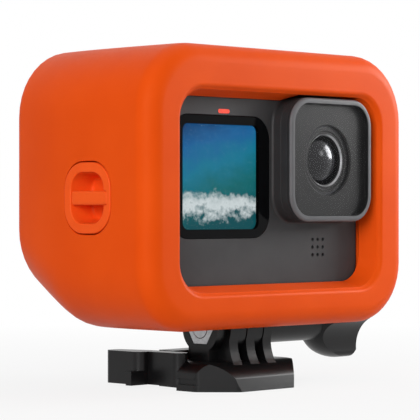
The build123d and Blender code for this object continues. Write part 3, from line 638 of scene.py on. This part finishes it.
def case_outline(y, inset):
    """The outside of the foam at one depth: tapering sides and a bottom that ramps up."""
    depth = y - CASE_LOW.y
    run = CASE_SIZE.y - CASE_TAPER_START
    taper = CASE_TAPER * max(0.0, (depth - CASE_TAPER_START) / run) ** 3
    slope = CASE_RAMP_RISE / (CASE_SIZE.y - CASE_RAMP_START)
    beyond = depth - CASE_RAMP_START
    ramp = slope * (beyond + math.hypot(beyond, CASE_RAMP_BLEND / 2)) / 2
    width = CASE_SIZE.x - 2 * taper - 2 * inset
    low = CASE_LOW.z + ramp + inset
    high = CASE_LOW.z + CASE_SIZE.z - inset
    radii = tuple(max(radius - inset, CASE_LEAST_RADIUS) for radius in CASE_RADII)
    return rounded_loop(width, high - low, radii, (0, (low + high) / 2))


def window_loop(lean):
    """The front window, leaning in by this much."""
    width, height, radius = WINDOW
    middle = (0, CASE_MIDDLE.z - WINDOW_DROP)
    return rounded_loop(width - 2 * lean, height - 2 * lean, radius - lean / 2, middle)


def rear_window_loop(lean):
    """The rear window, leaning out by this much."""
    width, height, radius = REAR_WINDOW
    middle = (0, CAMERA_MIDDLE.z)
    return rounded_loop(width + 2 * lean, height + 2 * lean, radius + lean, middle)


def foam_rows():
    """The foam case as rows, from the front window's inner lip over the outside to the rear."""
    front, back = CASE_LOW.y, CASE_LOW.y + CASE_SIZE.y
    body_front = CAMERA_LOW.y - SEAT
    body_back = CAMERA_LOW.y + CAMERA_SIZE.y + SEAT
    # the sloping wall of the front window, from its inner lip outwards
    rows = [place_y(window_loop(WINDOW_SLOPE - LIP_ROUND), body_front)]
    wall_start, wall_end = body_front - LIP_ROUND, front + WINDOW_ROUND
    for i in range(WINDOW_WALL_STEPS + 1):
        y = wall_start + (wall_end - wall_start) * i / WINDOW_WALL_STEPS
        lean = WINDOW_SLOPE * (y - front) / (body_front - front)
        rows.append(place_y(window_loop(lean), y))
    for falling, rising in quarter(first=1):
        rows.append(place_y(window_loop(-WINDOW_ROUND * rising), front + WINDOW_ROUND * falling))
    # the flat front, its round edge, the sides and the rear's round edge
    for falling, rising in quarter(2 * EDGE_STEPS):
        y = front + CASE_FRONT_ROUND * rising
        rows.append(place_y(case_outline(y, CASE_FRONT_ROUND * falling), y))
    side = CASE_SIZE.y - CASE_FRONT_ROUND - CASE_REAR_ROUND
    for i in range(1, CASE_SIDE_ROWS):
        y = front + CASE_FRONT_ROUND + side * i / CASE_SIDE_ROWS
        rows.append(place_y(case_outline(y, 0), y))
    for falling, rising in quarter(2 * EDGE_STEPS):
        y = back - CASE_REAR_ROUND * falling
        rows.append(place_y(case_outline(y, CASE_REAR_ROUND * rising), y))
    # the rear window
    for falling, rising in quarter():
        lean = REAR_SLOPE + REAR_WINDOW_ROUND * falling
        rows.append(place_y(rear_window_loop(lean), back - REAR_WINDOW_ROUND * rising))
    rows.append(place_y(rear_window_loop(0), body_back))
    # the pocket around the camera
    pocket = outline_of("body_shell", Y_AXIS, CAMERA_RADIUS)(SEAT)
    return rows + [place_y(pocket, body_back), place_y(pocket, body_front)]


def lens_notch_cutter():
    """The room around the lens cover, through the window's sloping wall."""
    loop = outline_of("lens_cover_frame", Y_AXIS, COVER_RADIUS)(NOTCH_MARGIN)
    return skin("notch", [place_y(loop, CASE_LOW.y + NOTCH_START), place_y(loop, CAMERA_LOW.y)])


def well_cutter(loop, put, start, end, gap):
    """A well from start to end around a piece, with a lip that opens outwards.

    loop(extra) gives the piece's outline, grown by that much.
    """
    outwards = math.copysign(1, end)
    rows = [put(loop(gap), start)]
    for out, spread in WELL_LIP_SHAPE:
        rows.append(put(loop(gap + WELL_LIP * spread), end + outwards * WELL_LIP * out))
    return skin("well", rows)


def well_cutters():
    """The wells of the two pads and of the tether insert."""
    case_top = CASE_LOW.z + CASE_SIZE.z
    case_side = CASE_SIZE.x / 2
    tether_low, tether_size, _ = node_size("tether_insert")
    tether_floor = tether_low.x + tether_size.x + TETHER_GAP
    shutter = outline_of("shutter_pad", Z_AXIS, PAD_RADIUS)
    mode = outline_of("mode_pad", X_AXIS, PAD_RADIUS)
    tether = outline_of("tether_insert", X_AXIS, TETHER_RADIUS)
    return (
        well_cutter(shutter, place_z, CAMERA_MIDDLE.z, case_top, PAD_GAP),
        well_cutter(mode, place_x, CAMERA_MIDDLE.x, case_side, PAD_GAP),
        well_cutter(tether, place_x, tether_floor, -case_side, TETHER_GAP),
    )


def channel_cutter():
    """The round channel in the underside, around the pivot."""
    pivot = frame["joints"][0]["pos_m"]
    loop = circle_loop(CHANNEL_RADIUS, (pivot[1], pivot[2]))
    return skin("channel", [place_x(loop, CHANNEL_LEFT), place_x(loop, CASE_SIZE.x)])


def make_foam_case():
    """The foam case with its window, wells and channel."""
    shell = skin("foam_shell", foam_rows(), closed=True)
    cut(shell, lens_notch_cutter(), *well_cutters(), channel_cutter())
    smooth(shell, sharp_from=32)
    dress(shell, MATERIALS["orange_foam"])
    stand_for(shell, "foam_case")


# ---- Foam pads over the buttons ----
PAD_ROUND = 1.1 * MM
PAD_FOOT_INSET = 1.6 * MM  # the foot on the button is narrower than the pad all round
PAD_FOOT_HEIGHT = 1.1 * MM
PAD_SIDE = (0, 0.3, 0.6)  # the rows of the straight side, as shares of the height
PAD_DIMPLE = ((1.5, 0.02), (2.1, 0.14), (2.8, 0.34), (3.5, 0.5), (4.2, 0.58))  # inset, depth, mm


def make_pad(node, axis, put):
    """A crowned foam pad with a foot on its button and a dimple for the fingertip."""
    low, size, _ = node_size(node)
    loop = outline_of(node, axis, PAD_RADIUS)
    start, end = low[axis], low[axis] + size[axis]
    sole = start + PAD_FOOT_HEIGHT
    rows = [put(loop(-PAD_FOOT_INSET), level) for level in (start, sole)]
    rows += [put(loop(0), sole + (end - sole) * share) for share in PAD_SIDE]
    for falling, rising in quarter(2 * EDGE_STEPS):
        rows.append(put(loop(-PAD_ROUND * rising), end - PAD_ROUND * falling))
    for inset, dip in PAD_DIMPLE:
        rows.append(put(loop(-inset * MM), end - dip * MM))
    pad = smooth(skin(node + "_foam", rows), sharp_from=50)
    dress(pad, MATERIALS["orange_foam"])
    stand_for(pad, node)


# ---- Tether point ----
TETHER_WALL = 2.4 * MM
TETHER_FLOOR = 1.6 * MM
TETHER_ROUND = 0.35 * MM
HOLLOW_ROUND = 1.0 * MM
HOLLOW_DRAFT = 0.9 * MM
BAR_GAP = 0.05 * MM
BAR_SEAT_RADIUS = 0.3 * MM


def make_tether_cup():
    """The cup with rounded rims, a drafted hollow and a seat for the bar."""
    low, size, _ = node_size("tether_insert")
    face, back = low.x, low.x + size.x
    floor = back - TETHER_FLOOR
    grown = outline_of("tether_insert", X_AXIS, TETHER_RADIUS)

    def ring(inset, x):
        return place_x(grown(-inset), x)

    rows = [ring(0, back)]
    for falling, rising in quarter():
        rows.append(ring(TETHER_ROUND * rising, face + TETHER_ROUND * falling))
    for falling, rising in quarter():
        rows.append(ring(TETHER_WALL - TETHER_ROUND * falling, face + TETHER_ROUND * rising))
    for falling, rising in quarter():
        inset = TETHER_WALL + HOLLOW_DRAFT + HOLLOW_ROUND * rising
        rows.append(ring(inset, floor - HOLLOW_ROUND * falling))
    cup = skin("tether_cup", rows)
    _, bar, at = node_size("tether_bar")
    seat = rounded_loop(bar.y + 2 * BAR_GAP, bar.z + 2 * BAR_GAP, BAR_SEAT_RADIUS, (at.y, at.z))
    cut(cup, skin("seat", [place_x(seat, face - MM), place_x(seat, face + bar.x + BAR_GAP)]))
    smooth(cup, sharp_from=40)
    dress(cup, MATERIALS["orange_plastic"])
    stand_for(cup, "tether_insert")


make_foam_case()
make_pad("shutter_pad", Z_AXIS, place_z)
make_pad("mode_pad", X_AXIS, place_x)
make_tether_cup()
dress(softened("tether_bar", "tether_crossbar", width=0.3 * MM), MATERIALS["orange_plastic"])


# ---- Lens cover, hood and what is inside ----
COVER_RIM = 1.45 * MM
COVER_WINDOW_RADIUS = 5.4 * MM
COVER_WINDOW_BEVEL = 0.15 * MM
COVER_BEVEL = 0.75 * MM
COVER_SEAM = 1.25 * MM  # behind the front
SEAM_HALF_WIDTH = 0.16 * MM
SEAM_DEPTH = 0.24 * MM
GLASS_INSET = 0.4 * MM
GLASS_THICK = 1.2 * MM
GLASS_GAP = 0.04 * MM  # between the pane and the frame
GLASS_EDGES = (0.12 * MM, 0.05 * MM)  # the front and the rear edge
PLATE_GAP = 0.05 * MM  # between the pane and the plate
EYE_RADIUS = 9.0 * MM
EYE_BACK = 2.3 * MM  # behind the front
EYE_BEVEL = (0.25 * MM, 0.2 * MM)  # across and deep
BORE_RADIUS = 11.6 * MM
HOOD_FLARE = 0.8 * MM
HOOD_EDGE = 0.12 * MM
HOOD_BORE = 10.05 * MM
RING_INSIDE = 6.4 * MM
RING_BEVEL = 0.4 * MM
ELEMENT_EYE = 6.3 * MM
ELEMENT_CURVE = 9.0 * MM
ELEMENT_STEPS = 12


def make_lens_cover():
    """The square frame: a pale rim, a seam behind it, and a plate with a round eye."""
    low, size, middle = node_size("lens_cover_frame")
    front, back = low.y, low.y + size.y
    at = (middle.x, middle.z)
    outer = outline_of("lens_cover_frame", Y_AXIS, COVER_RADIUS)

    def window(inset):
        rim = COVER_RIM + inset
        return rounded_loop(size.x - 2 * rim, size.z - 2 * rim, COVER_WINDOW_RADIUS - inset, at)

    def circle(radius):
        return onto_circle(window(0), radius, at)

    plate = front + GLASS_INSET + GLASS_THICK + PLATE_GAP
    seam = front + COVER_SEAM
    rows = [
        place_y(window(0), plate),
        place_y(window(0), front + COVER_WINDOW_BEVEL),
        place_y(window(-COVER_WINDOW_BEVEL), front),
        place_y(outer(-COVER_BEVEL), front),
    ]
    for falling, rising in quarter(first=1):
        rows.append(place_y(outer(-COVER_BEVEL * falling), front + COVER_BEVEL * rising))
    rim_bands = range(1, len(rows) - 1)
    rows += [
        place_y(outer(0), seam - SEAM_HALF_WIDTH),
        place_y(outer(-SEAM_DEPTH), seam - SEAM_HALF_WIDTH / 2),
        place_y(outer(-SEAM_DEPTH), seam + SEAM_HALF_WIDTH / 2),
        place_y(outer(0), seam + SEAM_HALF_WIDTH),
        place_y(outer(0), back),
        place_y(circle(BORE_RADIUS), back),
        place_y(circle(BORE_RADIUS), front + EYE_BACK),
        place_y(circle(EYE_RADIUS), front + EYE_BACK),
        place_y(circle(EYE_RADIUS), plate + EYE_BEVEL[1]),
        place_y(circle(EYE_RADIUS + EYE_BEVEL[0]), plate),
    ]
    plate_bands = (0, len(rows) - 2, len(rows) - 1)
    cover = skin("lens_frame", rows, closed=True)
    paint_rows(cover, len(rows[0]), 1, rim_bands)
    paint_rows(cover, len(rows[0]), 2, plate_bands)
    smooth(cover, sharp_from=35)
    dress(
        cover, MATERIALS["lens_plastic"], MATERIALS["grey_plastic"], MATERIALS["black_panel"]
    )
    stand_for(cover, "lens_cover_frame")

    def glass(inset):
        return window(inset + GLASS_GAP)

    glass_front = front + GLASS_INSET
    rows = slab_rows(glass, glass_front, glass_front + GLASS_THICK, GLASS_EDGES, 1)
    pane = smooth(skin("lens_window", rows), sharp_from=20)
    dress(pane, MATERIALS["clear_glass"])
    stand_for(pane, "lens_cover_glass")


def make_lens_hood():
    """The square step behind the cover, which flares out where it meets the body."""
    low, size, middle = node_size("lens_hood")
    front, back = low.y, low.y + size.y
    outer = outline_of("lens_hood", Y_AXIS, COVER_RADIUS)
    bore = onto_circle(outer(0), HOOD_BORE, (middle.x, middle.z))
    rows = [place_y(outer(-HOOD_EDGE), front), place_y(outer(0), front + HOOD_EDGE)]
    for falling, rising in quarter():
        rows.append(place_y(outer(HOOD_FLARE * rising), back - HOOD_FLARE * falling))
    rows += [place_y(bore, back), place_y(bore, front)]
    hood = smooth(skin("lens_step", rows, closed=True), sharp_from=35)
    dress(hood, MATERIALS["lens_plastic"])
    stand_for(hood, "lens_hood")


def make_retaining_ring():
    """The ring around the front element, with a bright bevel on its inner edge."""
    low, size, middle = node_size("lens_retaining_ring")
    front, back = low.y, low.y + size.y
    step = front + 0.5 * RING_BEVEL
    profile = (
        (size.x / 2, back),
        (size.x / 2, front),
        (RING_INSIDE + 3 * RING_BEVEL, front),
        (RING_INSIDE + 2.4 * RING_BEVEL, step),
        (RING_INSIDE + RING_BEVEL, step),
        (RING_INSIDE, step + RING_BEVEL),
        (RING_INSIDE, back),
    )
    bright_band = 4
    rows = [place_y(circle_loop(radius, (middle.x, middle.z)), y) for radius, y in profile]
    ring = skin("lens_ring", rows, closed=True)
    paint_rows(ring, CIRCLE_STEPS, 1, (bright_band,))
    smooth(ring, sharp_from=30)
    dress(ring, MATERIALS["black_panel"], MATERIALS["steel"])
    stand_for(ring, "lens_retaining_ring")


def make_front_element():
    """The domed element, whose edge lies deep behind the retaining ring."""
    low, size, middle = node_size("lens_front_element")
    reach = math.asin(ELEMENT_EYE / ELEMENT_CURVE)
    profile = []
    for i in range(1, ELEMENT_STEPS + 1):
        angle = reach * i / ELEMENT_STEPS
        depth = ELEMENT_CURVE * (1 - math.cos(angle))
        profile.append((ELEMENT_CURVE * math.sin(angle), low.y + depth))
    dome_end = low.y + ELEMENT_CURVE * (1 - math.cos(reach))
    profile += [(size.x / 2, dome_end), (size.x / 2, low.y + size.y)]
    rows = [place_y(circle_loop(radius, (middle.x, middle.z)), y) for radius, y in profile]
    element = smooth(skin("front_lens", rows), sharp_from=30)
    dress(element, MATERIALS["lens_glass"])
    stand_for(element, "lens_front_element")


make_lens_cover()
make_lens_hood()
make_retaining_ring()
make_front_element()


# ---- Front screen ----
SCREEN_RADIUS = 6.0 * MM
SCREEN_BEVEL = 0.22 * MM
SCREEN_GAP = 0.05 * MM  # between the pane and what is behind it
PICTURE_RADIUS = 1.8 * MM


def make_front_glass():
    """One pane: a black border, and a clear middle over the lit display."""
    low, size, middle = node_size("front_screen_glass")
    _, lit, _ = node_size("front_display")
    front, back = low.y, low.y + size.y - SCREEN_GAP
    outer = outline_of("front_screen_glass", Y_AXIS, SCREEN_RADIUS)
    inner = rounded_loop(lit.x, lit.z, PICTURE_RADIUS, (middle.x, middle.z))
    rows = [
        place_y(inner, back),
        place_y(outer(-SCREEN_GAP), back),
        place_y(outer(0), front + SCREEN_BEVEL),
        place_y(outer(-SCREEN_BEVEL * 0.3), front + SCREEN_BEVEL * 0.3),
        place_y(outer(-SCREEN_BEVEL), front),
        place_y(inner, front),
    ]
    pane = skin("front_pane", rows)
    for end in pane.data.polygons[-2:]:  # the two faces over the display
        end.material_index = 1
    smooth(pane, sharp_from=20)
    dress(pane, MATERIALS["screen_glass"], MATERIALS["screen_window"])
    stand_for(pane, "front_screen_glass")


make_front_glass()


# ---- Pieces that keep their CAD shape, with their edges rounded ----
ROUNDED = {  # the CAD node: the piece's name and the width of its edges, mm
    "buckle_base": ("buckle_block", 0.35),
    "buckle_arm_left": ("squeeze_arm_left", 0.35),
    "buckle_arm_right": ("squeeze_arm_right", 0.35),
    "thumb_screw_knob": ("thumb_knob", 0.3),
    "hex_nut": ("nut", 0.2),
    "finger_left": ("prong_left", 0.3),
    "finger_right": ("prong_right", 0.3),
    "rear_screen_glass": ("rear_pane", 0.25),
    "rear_cover": ("rear_frame", 0.2),
}
for node, (name, width) in ROUNDED.items():
    dress(softened(node, name, width * MM), MATERIALS[SLOTS[node]])


# ---- Stage ----
def seen_directly(tree):
    """1 for the rays that show the background: the camera's, a reflection's and glass's."""
    rays = tree.nodes.new("ShaderNodeLightPath")
    total = rays.outputs["Is Camera Ray"]
    for name in ("Is Glossy Ray", "Is Transmission Ray"):
        larger = tree.nodes.new("ShaderNodeMath")
        larger.operation = "MAXIMUM"
        tree.links.new(total, larger.inputs[0])
        tree.links.new(rays.outputs[name], larger.inputs[1])
        total = larger.outputs[0]
    return total


FLOOR_REACH = 3.0
FLOOR_DROP = 0.05 * MM
SHADOW_NEAR, SHADOW_FAR = 0.05, 0.3  # metres from the middle: it starts to fade, it is gone
SHADOW_HIDDEN = (0.86, 1.0)  # the share of plain white at those two distances
SQUARE = ((-1, -1), (1, -1), (1, 1), (-1, 1))


def floor_material():
    """A pale floor that shows as white, with a soft shadow close around the object."""
    m = Nodes("floor")
    m.set(
        Base_Color=m.blend(m.noise(0.01, 2), srgb(200, 200, 200), srgb(206, 206, 206)),
        Roughness=0.9,
        Specular_IOR_Level=0.1,
    )
    far = m.add("ShaderNodeVectorMath", {0: m.place}, operation="LENGTH").outputs["Value"]
    hidden = {
        "Value": far,
        "From Min": SHADOW_NEAR,
        "From Max": SHADOW_FAR,
        "To Min": SHADOW_HIDDEN[0],
        "To Max": SHADOW_HIDDEN[1],
    }
    fade = m.add("ShaderNodeMapRange", hidden).outputs["Result"]
    share = m.add("ShaderNodeMath", {0: seen_directly(m.tree), 1: fade}, operation="MULTIPLY")
    white = m.add("ShaderNodeEmission", {"Color": (1, 1, 1, 1), "Strength": 1.0})
    mixed = {0: share.outputs[0], 1: m.shader.outputs[0], 2: white.outputs[0]}
    mix = m.add("ShaderNodeMixShader", mixed)
    m.tree.links.new(mix.outputs[0], m.tree.nodes["Material Output"].inputs["Surface"])
    return m.material


def make_floor():
    """The floor, just under the object."""
    mesh = bmesh.new()
    corners = [(x * FLOOR_REACH, y * FLOOR_REACH, -FLOOR_DROP) for x, y in SQUARE]
    mesh.faces.new([mesh.verts.new(corner) for corner in corners])
    data = bpy.data.meshes.new("floor")
    mesh.to_mesh(data)
    mesh.free()
    floor = bpy.data.objects.new("floor", data)
    bpy.context.collection.objects.link(floor)
    dress(floor, floor_material())


WORLD_LIGHT = 0.18
WORLD_SEEN = 1.0


def make_world():
    """A soft grey light from all round, which the camera sees as white."""
    world = bpy.data.worlds.new("studio")
    bpy.context.scene.world = world
    world.use_nodes = True
    tree = world.node_tree
    light = tree.nodes["Background"]
    seen = tree.nodes.new("ShaderNodeBackground")
    for background, strength in ((light, WORLD_LIGHT), (seen, WORLD_SEEN)):
        background.inputs["Color"].default_value = (1, 1, 1, 1)
        background.inputs["Strength"].default_value = strength
    mix = tree.nodes.new("ShaderNodeMixShader")
    tree.links.new(seen_directly(tree), mix.inputs[0])
    tree.links.new(light.outputs[0], mix.inputs[1])
    tree.links.new(seen.outputs[0], mix.inputs[2])
    tree.links.new(mix.outputs[0], tree.nodes["World Output"].inputs["Surface"])


LAMP_AIM = Vector((0, 0, 0.05))
LAMPS = {  # the place, the two sides in metres, and the power in watts
    "key": ((-0.68, -0.37, 0.26), (0.36, 0.36), 4.1),  # the main light, from the left
    "panel": ((0.30, -0.13, 0.15), (0.14, 0.14), 0.8),  # a sheen on the forward faces
    "gleam": ((0.21, -0.37, 0.20), (0.08, 0.08), 0.12),  # a spark in the lens
    "top": ((0.0, 0.0, 0.8), (0.7, 0.5), 1.2),  # a soft light from above
}


def make_lamps():
    """Area lamps that all face the object's middle."""
    for name, (place, sides, power) in LAMPS.items():
        data = bpy.data.lights.new(name, "AREA")
        data.shape = "RECTANGLE"
        data.size, data.size_y = sides
        data.energy = power
        lamp = bpy.data.objects.new(name, data)
        lamp.location = place
        lamp.rotation_euler = (LAMP_AIM - lamp.location).to_track_quat("-Z", "Y").to_euler()
        bpy.context.collection.objects.link(lamp)


VIEW_AZIMUTH = math.radians(45.92)  # from the lens axis towards the left
VIEW_DISTANCE = 0.5535
VIEW_HEIGHT = 0.0455
VIEW_SHIFT = 0.39 * MM  # to the left
VIEW_LENS = 182.9  # focal length in mm, on a sensor 36 mm wide
SENSOR_WIDTH = 36.0


def make_camera():
    """A level view from the front left, through a long lens."""
    data = bpy.data.cameras.new("view")
    data.sensor_width = SENSOR_WIDTH
    data.lens = VIEW_LENS
    data.clip_start, data.clip_end = 0.01, 20
    camera = bpy.data.objects.new("view", data)
    side = Vector((math.cos(VIEW_AZIMUTH), -math.sin(VIEW_AZIMUTH), 0))
    ahead = Vector((math.sin(VIEW_AZIMUTH), math.cos(VIEW_AZIMUTH), 0))
    aim = Vector((0, 0, VIEW_HEIGHT)) - side * VIEW_SHIFT
    camera.location = aim - ahead * VIEW_DISTANCE
    camera.rotation_euler = ahead.to_track_quat("-Z", "Y").to_euler()
    bpy.context.collection.objects.link(camera)
    bpy.context.scene.camera = camera


make_world()
make_floor()
make_lamps()
make_camera()
bpy.context.scene.view_settings.view_transform = "Standard"
